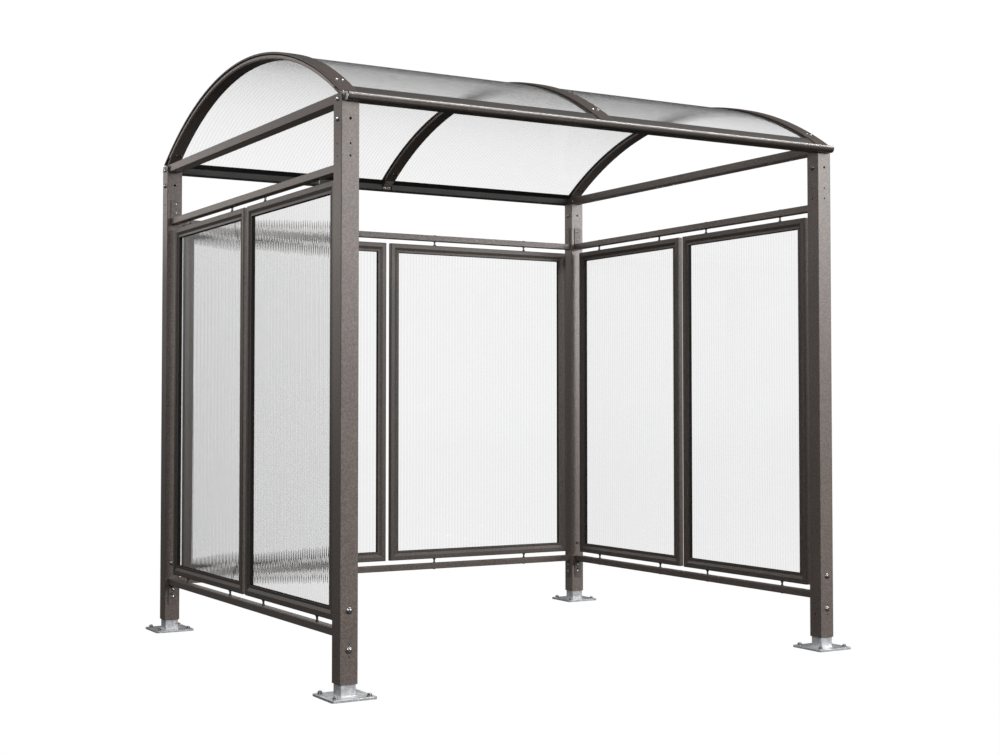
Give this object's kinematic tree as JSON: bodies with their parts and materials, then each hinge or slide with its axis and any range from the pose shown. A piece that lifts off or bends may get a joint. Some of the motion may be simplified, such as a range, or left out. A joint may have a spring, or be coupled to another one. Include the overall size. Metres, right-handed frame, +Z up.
{
  "type": "bike shelter",
  "caption": "Open-front bike shelter: square posts on base plates, framed translucent wall panels between rails, and a barrel roof of curved translucent sheet on arches.",
  "frame": {"origin": "middle of the plan at ground level, under the base plates", "axes": "+Z up; -Y is the open front; X runs across the front"},
  "size_m": [2.73, 2.396, 2.7888],
  "materials": {
    "coated_steel": "fine-textured powder coat, taupe grey-brown",
    "coated_aluminium": "fine-textured powder coat, taupe grey-brown",
    "galvanised_steel": "hot-dip galvanised, mottled",
    "clear_sheet": "clear ribbed sheet",
    "fixings": "zinc-plated, satin"
  },
  "bodies": {
    "root": {"arch_cap_left": "coated_aluminium", "arch_cap_middle": "coated_aluminium", "arch_cap_right": "coated_aluminium", "arch_left": "coated_aluminium", "arch_middle": "coated_aluminium", "arch_right": "coated_aluminium", "base_plate_back_left": "galvanised_steel", "base_plate_back_right": "galvanised_steel", "base_plate_front_left": "galvanised_steel", "base_plate_front_right": "galvanised_steel", "gutter_back": "coated_aluminium", "gutter_front": "coated_aluminium", "panel_frame_back_left": "coated_aluminium", "panel_frame_back_right": "coated_aluminium", "panel_frame_left_back": "coated_aluminium", "panel_frame_left_front": "coated_aluminium", "panel_frame_right_back": "coated_aluminium", "panel_frame_right_front": "coated_aluminium", "panel_sheet_back_left": "clear_sheet", "panel_sheet_back_right": "clear_sheet", "panel_sheet_left_back": "clear_sheet", "panel_sheet_left_front": "clear_sheet", "panel_sheet_right_back": "clear_sheet", "panel_sheet_right_front": "clear_sheet", "post_back_left": "coated_steel", "post_back_right": "coated_steel", "post_front_left": "coated_steel", "post_front_right": "coated_steel", "rail_back_lower": "coated_steel", "rail_back_upper": "coated_steel", "rail_left_lower": "coated_steel", "rail_left_upper": "coated_steel", "rail_right_lower": "coated_steel", "rail_right_upper": "coated_steel", "roof_sheet_left": "clear_sheet", "roof_sheet_right": "clear_sheet", "side_beam_left": "coated_steel", "side_beam_right": "coated_steel", "studs_back": "fixings", "studs_left": "fixings", "studs_right": "fixings"}
  },
  "joints": []
}
